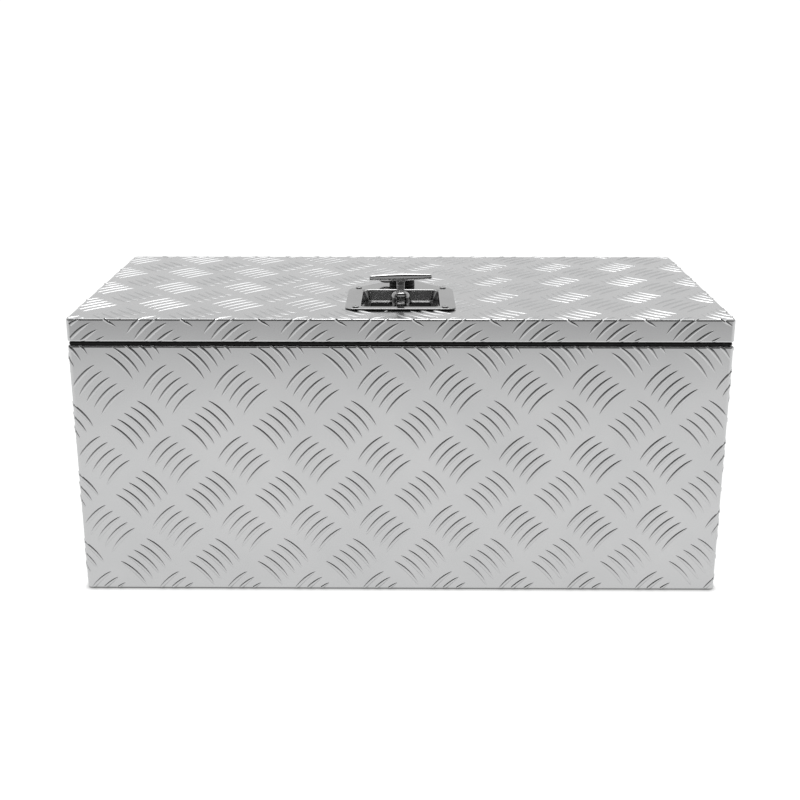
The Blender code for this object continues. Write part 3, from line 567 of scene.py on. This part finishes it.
def make_body():
    bm = bmesh.new()
    rows = []
    for inset, z in wall_section():
        r = max(CORNER_R - inset, 0.4)
        rows.append(loop(bm, rounded(HALF_W - inset, HALF_D - inset, r, 0, Y_MID), z))
    for k in range(len(rows)):
        bridge(bm, rows[k], rows[(k + 1) % len(rows)])
    slash, back = (-18.5, 255.7), (23.9, 299.6)
    reach = ((-TO_REAR, 0), (TO_REAR, BODY_TOP))
    add_pattern(bm, body_place, on_front_sheet, slash, back, reach, lean=0.0029)
    reach = ((-HALF_W, 0), (HALF_W, BODY_TOP))
    add_pattern(bm, rear_place, on_rear_sheet, slash, back, reach)
    finish_piece("body_shell", bm, "tread_plate", "body", ["body_wrap"])


# ---- lid: the same sheet turned a quarter, its rims folded down on four sides

LATCH_Y = Y_FRONT + 89.1
KEY_X, KEY_Y = 1.4, Y_FRONT + 154.7


def tongue(margin=0.0):
    """Outline of the latch's flange: wide at the handle, with a tapered tongue behind for the lock."""
    half = [(65, 124.7), (64.2, 130.7), (61.8, 136.1), (55, 142.3), (48, 147.5)]
    half += [(38.3, 156.1), (26.8, 167.2), (20, 173.7), (15.5, 176.7), (11, 177.7)]
    half = [(x - margin * 0.8, y - margin) for x, y in half]
    front = [(65 - p - margin, 37.4 + q + margin) for p, q in front_corner()]
    right = front + half
    left = [(-x, y) for x, y in reversed(right)]
    return [(x, Y_FRONT + y) for x, y in right + left]


def front_corner(radius=9.0):
    angles = [math.radians(15 * k) for k in range(7)]
    return [(radius * (1 - math.sin(a)), radius * (1 - math.cos(a))) for a in angles]


def within(outline, x, y):
    """True if a point is inside a closed outline."""
    inside = False
    for (x0, y0), (x1, y1) in zip(outline, outline[1:] + outline[:1]):
        if (y0 > y) != (y1 > y) and x < (x1 - x0) * (y - y0) / (y1 - y0) + x0:
            inside = not inside
    return inside


UNDER_FLANGE = tongue(-0.4)
UNDER_GASKET = tongue(2.2)


def lid_place(x, y, h):
    """A point on the lid's outer face, laid out flat in x and y, raised by h along the face's normal."""
    sides = (abs(x) - (HALF_W - BEND_R), (Y_FRONT + BEND_R) - y, y - (Y_REAR - BEND_R))
    over = max(sides)
    if over <= 0:
        if h > 0.25 and within(UNDER_FLANGE, x, y):
            h = 0.25
        return (x, y, LID_TOP + h)
    a = min(over / BEND_R, math.pi / 2)
    drop = max(over - BEND_R * math.pi / 2, 0)
    flat = LID_TOP - LID_BOTTOM - 2 * BEND_R
    low = min(max(drop - flat, 0) / BEND_R, math.pi / 2)
    if h > 0:
        h *= 1 - smoothstep(flat - 0.5, flat + 2.0, drop)
    # how far out of the bend's start, and how high
    out = BEND_R * math.sin(a) - BEND_R * (1 - math.cos(low)) + h * math.sin(a) * math.cos(low)
    z = LID_TOP - BEND_R + BEND_R * math.cos(a) - min(drop, flat) - BEND_R * math.sin(low)
    z += h * (math.cos(a) - math.sin(low))
    if over == sides[0]:
        return ((HALF_W - BEND_R + out) * (1 if x > 0 else -1), y, z)
    if over == sides[1]:
        return (x, Y_FRONT + BEND_R - out, z)
    return (x, Y_REAR - BEND_R + out, z)


def on_lid(x, y):
    ends = abs(x) - (HALF_W - BEND_R)
    front, rear = (Y_FRONT + BEND_R) - y, y - (Y_REAR - BEND_R)
    over = max(ends, front, rear)
    if over > BEND_R * math.pi / 2 + LID_TOP - LID_BOTTOM - 2 * BEND_R + 1.5:
        return False
    if over <= 0:
        return not within(UNDER_GASKET, x, y)
    if over == ends:
        return Y_FRONT + CORNER_R < y < Y_REAR - CORNER_R
    if abs(x) > HALF_W - CORNER_R:
        return False
    # the hinge leaf covers the rear rim up to its top edge
    return over == front or abs(x) > LEAF_HALF + 2 or rear < LID_TOP - LEAF_HIGH - 2


def lid_rows(outer):
    """Rings of one face of the lid, from the hem's edge round to the flat top."""
    thin = 0 if outer else SHEET
    low, high = LID_BOTTOM + BEND_R, LID_TOP - BEND_R
    rows = [(LID_HEM, LID_BOTTOM + thin)]
    rows += [(BEND_R - c, low + s) for c, s in arc(0, 0, BEND_R - thin, -90, 0)]
    rows += [(BEND_R - c, high + s) for c, s in arc(0, 0, BEND_R - thin, 0, 90)]
    return rows


def make_lid():
    bm = bmesh.new()
    faces = []
    for outer in (True, False):
        rings = []
        for inset, z in lid_rows(outer):
            r = max(CORNER_R - inset, 0.4)
            rings.append(loop(bm, rounded(HALF_W - inset, HALF_D - inset, r, 0, Y_MID), z))
        for a, b in zip(rings, rings[1:]):
            bridge(bm, a, b)
        z = LID_TOP if outer else LID_TOP - SHEET
        holes = [loop(bm, rounded(50.5, 44.8, 8, 0, LATCH_Y), z)]
        holes.append(loop(bm, circle(10.0, KEY_X, KEY_Y, 32), z))
        fill(bm, [rings[-1], *holes])
        faces.append((rings[0], holes))
    bridge(bm, faces[0][0], faces[1][0])
    for a, b in zip(faces[0][1], faces[1][1]):
        bridge(bm, a, b)
    slash, back = (-17.3, Y_FRONT + 230.0), (26.6, Y_FRONT + 271.3)
    margin = LID_TOP - LID_BOTTOM
    reach = ((-HALF_W - margin, Y_FRONT - margin), (HALF_W + margin, Y_REAR + margin))
    add_pattern(bm, lid_place, on_lid, slash, back, reach, turned=True)
    finish_piece("lid_shell", bm, "tread_plate", "lid", ["lid_pan"])


# ---- latch: pressed dish, rivets, hub, T-handle

PLATE_TOP = box_mm("latch_dish")[1][2]
PLATE_LOW = box_mm("dish_gasket")[1][2] + 0.3
# half sizes of the recess at its mouth and at its floor
RECESS, RECESS_FOOT = (48.8, 43.1), (42.0, 40.5)
PIVOT_Z = sum(corner[2] for corner in box_mm("pivot_pin")) / 2
HUB_LOW, HUB_HIGH = box_mm("handle_hub")
REST_TURN = 6.0
FLOOR_Z = PLATE_TOP - 15.2


def make_dish():
    """The flange, its rolled edge, and the pressed recess."""
    bm = bmesh.new()
    ends = []
    for upper in (True, False):
        z = PLATE_TOP if upper else PLATE_LOW
        s = 0.0 if upper else PLATE_TOP - PLATE_LOW
        ro, ri = (2.6, 2.4) if upper else (1.6, 3.4)
        rows = []
        for k in range(9):
            a = math.radians(77 * k / 8)
            run = s * 0.4 - ro * math.sin(a)
            rows.append((RECESS[0] + run, RECESS[1] + run, z - ro * (1 - math.cos(a))))
        for k in range(9):
            a = math.radians(77 - 77 * k / 8)
            run = s * 0.6 - ri + ri * math.sin(a)
            height = FLOOR_Z - s + ri * (1 - math.cos(a))
            rows.append((RECESS_FOOT[0] + run, RECESS_FOOT[1] + run, height))
        rings = []
        for hx, hy, height in rows:
            rings.append(loop(bm, rounded(hx, hy, 9 - (RECESS[0] - hx) * 0.25, 0, LATCH_Y), height))
        for a, b in zip(rings, rings[1:]):
            bridge(bm, a, b)
        hole = loop(bm, circle(9.8, KEY_X, KEY_Y, 32), z)
        if upper:
            # the edge rolls over
            roll = ((-0.7, 0), (-0.35, 0.08), (-0.1, 0.3), (0, 0.65))
            edges = [loop(bm, tongue(-m), z - d) for m, d in roll]
            for a, b in zip(edges, edges[1:]):
                bridge(bm, a, b)
            inner, outer = edges[0], edges[-1]
        else:
            inner = outer = loop(bm, tongue(), z)
        fill(bm, [inner, rings[0], hole])
        eye = loop(bm, circle(6.5, 0, LATCH_Y, 32), FLOOR_Z - s)
        fill(bm, [rings[-1], eye])
        ends.append([outer, eye, hole])
    for a, b in zip(*ends):
        bridge(bm, a, b)
    # painted shade: the dish takes the darker copy of the stainless
    finish_piece("latch_plate", bm, "stainless", "lid", ["latch_dish"], look="stainless_painted_shade")


def rivet_profile(head, shank, grip, flat):
    """A blind rivet with the stub of its mandrel, its head seated at height 0."""
    top = 1.3 if flat else 1.55
    out = [(0, top - 0.5), (0.8, top - 0.5), (0.9, top - 0.15), (1.25, top)]
    if flat:
        out += [(head * 0.74, top), (head * 0.88, top * 0.82), (head * 0.97, top * 0.5)]
    else:
        out += [(head * 0.5, top * 0.93), (head * 0.72, top * 0.75), (head * 0.9, top * 0.48)]
    out += [(head, top * 0.2), (head, 0.04), (shank, 0.04), (shank, -grip), (shank + 0.9, -grip)]
    return out + [(shank + 0.7, -grip - 1.0), (0, -grip - 1.3)]


def make_rivets():
    rows = [("dish_rivet_" + str(k), "lid", "stainless", True) for k in (1, 2, 3, 4)]
    for k in (1, 2, 3, 4):
        rows.append(("hinge_rivet_body_" + str(k), "body", "rivet_aluminium", False))
        rows.append(("hinge_rivet_lid_" + str(k), "lid", "rivet_aluminium", False))
    for side in ("left", "right"):
        rows.append(("striker_rivet_" + side, "body", "rivet_aluminium", False))
    for node, body, slot, flat in rows:
        low, high = box_mm(node)
        mid = [(a + b) / 2 for a, b in zip(low, high)]
        axis = 1 if node.startswith("hinge") else 2
        length = high[axis] - low[axis]
        head = 4.0 if flat else (high[0] - low[0]) / 2
        bm = turned(rivet_profile(head, 1.6, length - 2.95, flat), 32)
        mid[axis] = high[axis] - 1.5
        moved(bm, *mid, "X" if axis == 1 else None, -90)
        # painted shade: the flat dish rivets take the darker copy of the stainless
        look = "stainless_painted_shade" if flat else slot
        finish_piece(node + "_head", bm, slot, body, [node], look=look)


def on_rotor(bm):
    """Sets a piece drawn round the handle's pivot in place, at the angle the handle rests at."""
    return moved(bm, 0, LATCH_Y, PIVOT_Z, "Z", REST_TURN)


def squircle(a, b, power=2.7, steps=32):
    """An outline between an ellipse and a rectangle."""
    points = []
    for k in range(steps):
        c, s = math.cos(2 * math.pi * k / steps), math.sin(2 * math.pi * k / steps)
        x = a * math.copysign(abs(c) ** (2 / power), c)
        points.append((x, b * math.copysign(abs(s) ** (2 / power), s)))
    return points


def make_handle():
    """The grip bar, its stem and the eye round the pivot, cast in one."""
    half = 37.7
    bar_z = 32.8
    rows = []
    for k in range(41):
        x = half * math.sin(math.pi / 2 * (k - 20) / 20)
        t = abs(x) / half
        end = 1 - 0.16 * smoothstep(0.965, 1.0, t)
        h = (4.7 - 1.75 * t**1.7) * end
        d = (4.8 - 0.8 * t**2) * end
        rows.append([(x, y, bar_z + z) for y, z in squircle(d, h)])
    bar = lofted(rows)
    rows = []
    # height above the pivot, and half sizes, of the stem as it flares into the bar
    stations = [(7.0, 4.9, 3.5), (16.0, 4.8, 3.4), (24.0, 4.8, 3.4)]
    stations += [(27.5, 5.2, 3.6), (30.5, 6.4, 4.2), (33.0, 7.5, 4.4)]
    for z, hx, hy in stations:
        rows.append([(x, y, z) for x, y in squircle(hx, hy, 4.5)])
    stem = lofted(rows)
    eye = arc(0, 0, 6, 180, 360, 18)
    eye += [(6.0, 10.0), (5.6, 12.0), (4.7, 13.4), (3.0, 14.4)]
    eye += [(-y, z) for y, z in reversed(eye[-4:])]
    eye = crosswise(plate(eye, -4.9, 4.9))
    bm = on_rotor(joined(bar, stem, eye))
    finish_piece("t_handle_cast", bm, "stainless", "handle", ["t_handle"], fuse=0.45)


def make_hub():
    base, top = FLOOR_Z + 0.3 - PIVOT_Z, HUB_HIGH[2] - PIVOT_Z
    foot = HUB_LOW[2] - PIVOT_Z
    profile = [(0, foot), (6.0, foot), (6.0, base), (10.9, base), (11.4, base + 0.6)]
    for k in range(11):
        a = math.radians(90 * k / 10)
        profile.append((5.4 + 6.0 * math.cos(a), top - 6.6 + 6.6 * math.sin(a)))
    profile.append((0, top))
    hub = turned(profile, 64)
    slot = plate([(-5.3, -20), (5.3, -20), (5.3, 20), (-5.3, 20)], -6.5, top + 5)
    bm = on_rotor(carved(hub, slot))
    # painted shade: the hub takes the darker copy of the stainless
    finish_piece("hub_dome", bm, "stainless", "latch_rotor", ["handle_hub"], look="stainless_painted_shade")
    tip = 12.4
    pin = [(0, -tip - 1.5), (1.2, -tip - 1.45), (2.2, -tip - 1.1), (2.85, -tip - 0.4)]
    pin += [(3.0, -tip + 0.2), (2.9, -tip + 0.7), (1.8, -tip + 0.7)]
    pin += [(r, -z) for r, z in reversed(pin)]
    bm = moved(turned(pin, 32), axis="Y", angle=90)
    finish_piece("pivot_knobs", on_rotor(bm), "black_paint", "latch_rotor", ["pivot_pin"])


# ---- key lock and its cap


def make_lock():
    """The lock's housing, and its plug with a keyway."""
    (_, _, foot), (_, _, top) = box_mm("lock_housing")
    bore, seat = 6.06, PLATE_TOP + 0.3
    house = [(bore, foot), (9.5, foot), (9.5, seat), (13.0, seat), (13.0, top - 0.8), (12.7, top - 0.3)]
    house += [(12.1, top), (8.4, top), (8.0, top - 0.5), (bore + 0.5, top - 0.5), (bore, top - 0.8)]
    bm = moved(turned(house, 64), KEY_X, KEY_Y)
    finish_piece("lock_body", bm, "stainless", "lid", ["lock_housing"])

    shoulder = foot - 1.5
    (_, _, tail), (_, _, face) = box_mm("lock_plug")
    plug = [(0, tail), (3.0, tail), (3.0, shoulder), (6.0, shoulder), (6.0, face - 0.4), (5.6, face)]
    plug.append((0, face))
    slot = plate(rounded(0.8, 4.2, 0.35, steps=4), face - 14, face + 4)
    notch = plate(rounded(0.5, 0.8, 0.2, 1.2, 1.6, steps=3), face - 14, face + 4)
    bm = moved(carved(turned(plug, 48), slot, notch), KEY_X, KEY_Y)
    finish_piece("key_plug", bm, "stainless", "key_plug", ["lock_plug"])


PIN_LOW, PIN_HIGH = box_mm("cap_pin")
CAP_HINGE = ((PIN_LOW[1] + PIN_HIGH[1]) / 2, (PIN_LOW[2] + PIN_HIGH[2]) / 2)


def make_collar():
    """The cap's base ring, with two ears behind it for the pin."""
    hinge_y, hinge_z = CAP_HINGE
    foot = box_mm("cap_collar")[0][2]
    ring = [(13.3, foot), (15.9, foot), (15.9, foot + 2.4), (15.4, foot + 2.9), (13.3, foot + 2.9)]
    ring = moved(turned(ring, 64), KEY_X, KEY_Y)
    ears = []
    for side in (-1, 1):
        outline = [(-4.2, foot + 0.05), (2.6, foot + 0.05), (2.6, hinge_z)]
        outline += arc(0, hinge_z, 2.4, 15, 165, 10)
        outline += [(-2.3, foot + 2.8), (-4.2, foot + 2.8)]
        ears.append(crosswise(plate(outline, -1.4, 1.4), KEY_X + side * 6.4, hinge_y))
    finish_piece("collar_ring", joined(ring, *ears), "black_plastic", "lid", ["cap_collar"])


def make_cap():
    """The rubber cap: cup, knuckle and curled lift tab."""
    hinge_y, hinge_z = CAP_HINGE
    z0, z1 = PLATE_TOP + 3.3, PLATE_TOP + 6.0
    cup = [(0, z1 + 7.3), (6.0, z1 + 7.3), (10.0, z1 + 7.0), (13.0, z1 + 6.2), (14.8, z1 + 4.8)]
    cup += [(15.4, z1 + 3.0), (15.4, z0 + 1.9), (15.9, z0 + 1.4), (15.9, z0 + 0.6), (13.4, z0 + 0.6)]
    cup += [(13.4, z1 + 2.6), (0, z1 + 2.6)]
    cup = moved(turned(cup, 64), KEY_X, KEY_Y)
    arm = [(-4.2, hinge_z - 1.6), (1.4, hinge_z - 1.9), *arc(0, hinge_z, 2.2, -45, 90, 9)]
    arm = crosswise(plate([*arm, (-4.2, hinge_z + 2.4)], -4.5, 4.5), KEY_X, hinge_y)
    rows = []
    for k in range(17):
        t = k / 16
        x = -14.8 * (1 - t) ** 2 - 2 * 24.5 * t * (1 - t) - 29.2 * t * t
        z = 5.0 * (1 - t) ** 2 + 2 * 3.4 * t * (1 - t) + 7.6 * t * t
        wide, thick = 4.6 - 1.2 * smoothstep(0.7, 1.0, t), 0.85 - 0.3 * t
        rows.append([(x, y, PLATE_TOP - 0.6 + z + h) for y, h in squircle(wide, thick, 3.5, 20)])
    tab = moved(lofted(rows), KEY_X, KEY_Y)
    bm = joined(cup, arm, tab)
    finish_piece("rubber_cap", bm, "black_rubber", "cap", ["dust_cap"], fuse=0.4)


# ---- seal and hinge


def make_seal():
    """A bulb seal on the body's top flange."""
    low, high = BODY_TOP + 0.15, LID_BOTTOM - 0.3
    r = (high - low) / 2
    section = [(1.5 + r - c, low + r + s) for c, s in arc(0, 0, r, -90, 90, 8)]
    section += [(8.5, high), (9.5, low + 1.6), (13.0, low + 1.4), (13.0, low)]
    bm = bmesh.new()
    rows = []
    for inset, z in section:
        corner = max(CORNER_R - inset, 0.6)
        rows.append(loop(bm, rounded(HALF_W - inset, HALF_D - inset, corner, 0, Y_MID), z))
    for k in range(len(rows)):
        bridge(bm, rows[k], rows[(k + 1) % len(rows)])
    finish_piece("bulb_seal", bm, "black_rubber", "body", ["body_seal"])


def knuckle(start, end, pin_y, pin_z):
    """A sheet tube round the hinge pin, from start to end along X."""
    bm = bmesh.new()
    rings = []
    for x in (start, end):
        outer = arc(pin_y, pin_z, 2.9, 180, 522, 19)
        inner = arc(pin_y, pin_z, 1.5, 180, 503, 19)
        rings.append([[bm.verts.new((x, y, z)) for y, z in row] for row in (outer, inner)])
    (outer_a, inner_a), (outer_b, inner_b) = rings
    bridge(bm, outer_a, outer_b)
    bridge(bm, inner_a, inner_b)
    bridge(bm, outer_a, inner_a)
    bridge(bm, outer_b, inner_b)
    return bm


def make_hinge():
    """Piano hinge: two leaves whose curled knuckles alternate along one pin."""
    pin_low, pin_high = box_mm("hinge_pin")
    pin_y, pin_z = (pin_low[1] + pin_high[1]) / 2, (pin_low[2] + pin_high[2]) / 2
    count = 45
    pitch = 2 * LEAF_HALF / count
    for side, node, body in ((-1, "hinge_leaf_body", "body"), (1, "hinge_leaf_lid", "lid")):
        low, high = box_mm(node)
        y0, y1 = Y_REAR + 0.3, Y_REAR + 1.5
        near = pin_z + side * 3.3
        far = low[2] if side < 0 else high[2]
        strip = rounded(LEAF_HALF, abs(far - near) / 2, 0.5, 0, (near + far) / 2, 3)
        parts = [moved(plate(strip, -y1, -y0), axis="X", angle=90)]
        for k in range(0 if side < 0 else 1, count, 2):
            a, b = -LEAF_HALF + k * pitch + 0.25, -LEAF_HALF + (k + 1) * pitch - 0.25
            parts.append(knuckle(a, b, pin_y, pin_z))
            # the web joins the knuckle to its leaf
            web = [(pin_y - 2.9, pin_z), (pin_y - 1.9, pin_z)]
            web += [(y, near + side) for y, _ in reversed(web)]
            parts.append(lofted([[(x, y, z) for y, z in web] for x in (a, b)]))
        finish_piece(node + "_strip", joined(*parts), "zinc_steel", body, [node])


# ---- inside: the floor panel carries the same tread


def make_floor_panel():
    low, high = box_mm("floor_panel")
    hx, hy = (high[0] - low[0]) / 2, (high[1] - low[1]) / 2
    bm = plate(rounded(hx, hy, 3.0, 0, Y_MID, 4), low[2], high[2])

    def on_panel(x, y):
        return abs(x) < hx - 3 and abs(y - Y_MID) < hy - 3

    def panel_place(x, y, h):
        return (x, y, high[2] + h)

    reach = ((-hx, Y_MID - hy), (hx, Y_MID + hy))
    add_pattern(bm, panel_place, on_panel, (-12.0, -20.0), (31.9, 21.3), reach, turned=True)
    finish_piece("floor_tread", bm, "tread_plate", "body", ["floor_panel"])


make_body()
make_lid()
make_dish()
make_rivets()
make_handle()
make_hub()
make_lock()
make_collar()
make_cap()
make_seal()
make_hinge()
make_floor_panel()


# ---- studio: floor, surrounding light and camera

# the floor's painted light: its glow runs from 2 m in front of the chest to its middle and dims towards
# the front as painted light fall-off; it is what the front reflects
FLOOR_PAINTED_LIGHT = [(0.0, 0.30), (0.33, 0.50), (0.39, 0.74), (0.45, 0.92), (0.56, 0.96)]
FLOOR_PAINTED_LIGHT += [(0.72, 1.0), (1.0, 1.0)]
# light of the surroundings by the sine of the elevation, behind the chest and in front of it
REAR_LIGHT = [(0.0, 0.36), (0.06, 0.36), (0.12, 0.29), (0.5, 0.28), (0.74, 0.32)]
REAR_LIGHT += [(0.79, 0.8), (0.87, 0.8), (0.94, 0.42)]
FRONT_LIGHT = [(0.0, 0.14), (0.05, 0.12), (0.2, 0.1), (0.3, 0.018), (0.75, 0.018)]
FRONT_LIGHT += [(0.93, 0.03), (0.97, 0.42)]


def make_floor():
    """A dark matt floor painted with light: it glows, so that it looks pale. The glow dims towards the
    front as painted fall-off, and a painted contact shadow darkens it where the chest stands on it.
    """
    bm = bmesh.new()
    bmesh.ops.create_grid(bm, x_segments=4, y_segments=4, size=30.0)
    mesh = bpy.data.meshes.new("floor")
    bm.to_mesh(mesh)
    bm.free()
    ob = bpy.data.objects.new("floor", mesh)
    bpy.context.scene.collection.objects.link(ob)
    ob.location.z = -0.0005
    m = Nodes("floor_paper_painted_glow")
    m.into("Base Color", m.ramp(m.noise(3.0, 2.0), [(0.3, 0.10), (0.7, 0.12)]))
    m.into("Roughness", 0.9)
    m.into("Specular IOR Level", 0.0)
    # painted light fall-off: the glow is graded along Y and is dimmer towards the front
    split = m.tree.nodes.new("ShaderNodeSeparateXYZ")
    m.link(m.where, split.inputs["Vector"])
    away = m.tree.nodes.new("ShaderNodeMapRange")
    away.inputs["From Min"].default_value = -2.0
    away.inputs["From Max"].default_value = 0.0
    m.link(split.outputs["Y"], away.inputs["Value"])
    # painted contact shadow: ambient occlusion darkens the glow within 6 mm of the chest
    shade = m.tree.nodes.new("ShaderNodeAmbientOcclusion")
    shade.inputs["Distance"].default_value = 0.006
    m.link(m.ramp(away.outputs["Result"], FLOOR_PAINTED_LIGHT), shade.inputs["Color"])
    m.into("Emission Color", shade.outputs["Color"])
    m.into("Emission Strength", 1.02)
    mesh.materials.append(m.material)


def make_world():
    """Graded light: nearly black high in front, grey behind, with a bright band high at the rear."""
    world = bpy.data.worlds.new("studio")
    bpy.context.scene.world = world
    world.use_nodes = True
    tree = world.node_tree
    coords = tree.nodes.new("ShaderNodeTexCoord")
    split = tree.nodes.new("ShaderNodeSeparateXYZ")
    tree.links.new(coords.outputs["Generated"], split.inputs["Vector"])

    def ramp(value, stops, low=0.0, high=1.0):
        spread = tree.nodes.new("ShaderNodeMapRange")
        spread.inputs["From Min"].default_value = low
        spread.inputs["From Max"].default_value = high
        tree.links.new(value, spread.inputs["Value"])
        node = tree.nodes.new("ShaderNodeValToRGB")
        node.color_ramp.interpolation = "EASE"
        while len(node.color_ramp.elements) < len(stops):
            node.color_ramp.elements.new(0.5)
        for element, (place, grey) in zip(node.color_ramp.elements, stops):
            element.position = place
            element.color = (grey, grey, grey, 1.0)
        tree.links.new(spread.outputs["Result"], node.inputs["Fac"])
        return node.outputs["Color"]

    height = split.outputs["Z"]
    rear = ramp(height, REAR_LIGHT)
    front = ramp(height, FRONT_LIGHT)
    side = ramp(split.outputs["Y"], [(0.0, 0.0), (1.0, 1.0)], -0.35, 0.35)
    mix = tree.nodes.new("ShaderNodeMix")
    mix.data_type = "RGBA"
    tree.links.new(side, mix.inputs["Factor"])
    tree.links.new(front, mix.inputs["A"])
    tree.links.new(rear, mix.inputs["B"])
    background = tree.nodes["Background"]
    background.inputs["Strength"].default_value = 3.0
    tree.links.new(mix.outputs["Result"], background.inputs["Color"])


def softbox(name, centre, aim, size, radiance):
    """A rectangular light of an even brightness, turned to face a point."""
    data = bpy.data.lights.new(name, "AREA")
    data.shape = "RECTANGLE"
    data.size, data.size_y = size
    data.energy = radiance * math.pi * size[0] * size[1]
    ob = bpy.data.objects.new(name, data)
    ob.location = centre
    ob.rotation_euler = (Vector(aim) - Vector(centre)).to_track_quat("-Z", "Y").to_euler()
    bpy.context.scene.collection.objects.link(ob)


def make_camera():
    data = bpy.data.cameras.new("camera")
    data.lens = 49.365
    data.sensor_width = 36.0
    data.shift_y = -0.0966
    data.clip_end = 100.0
    ob = bpy.data.objects.new("camera", data)
    ob.location = (0.0068, -1.36835, 0.6732)
    ob.rotation_euler = (math.radians(90 - 15.703), 0.0, math.radians(0.335))
    bpy.context.scene.collection.objects.link(ob)
    bpy.context.scene.camera = ob


make_floor()
make_world()
softbox("top_box", (0.02, 0.0, 1.4), (0.0, -0.08, 0.34), (0.45, 0.35), 5.0)
make_camera()
bpy.context.scene.view_settings.view_transform = "Standard"
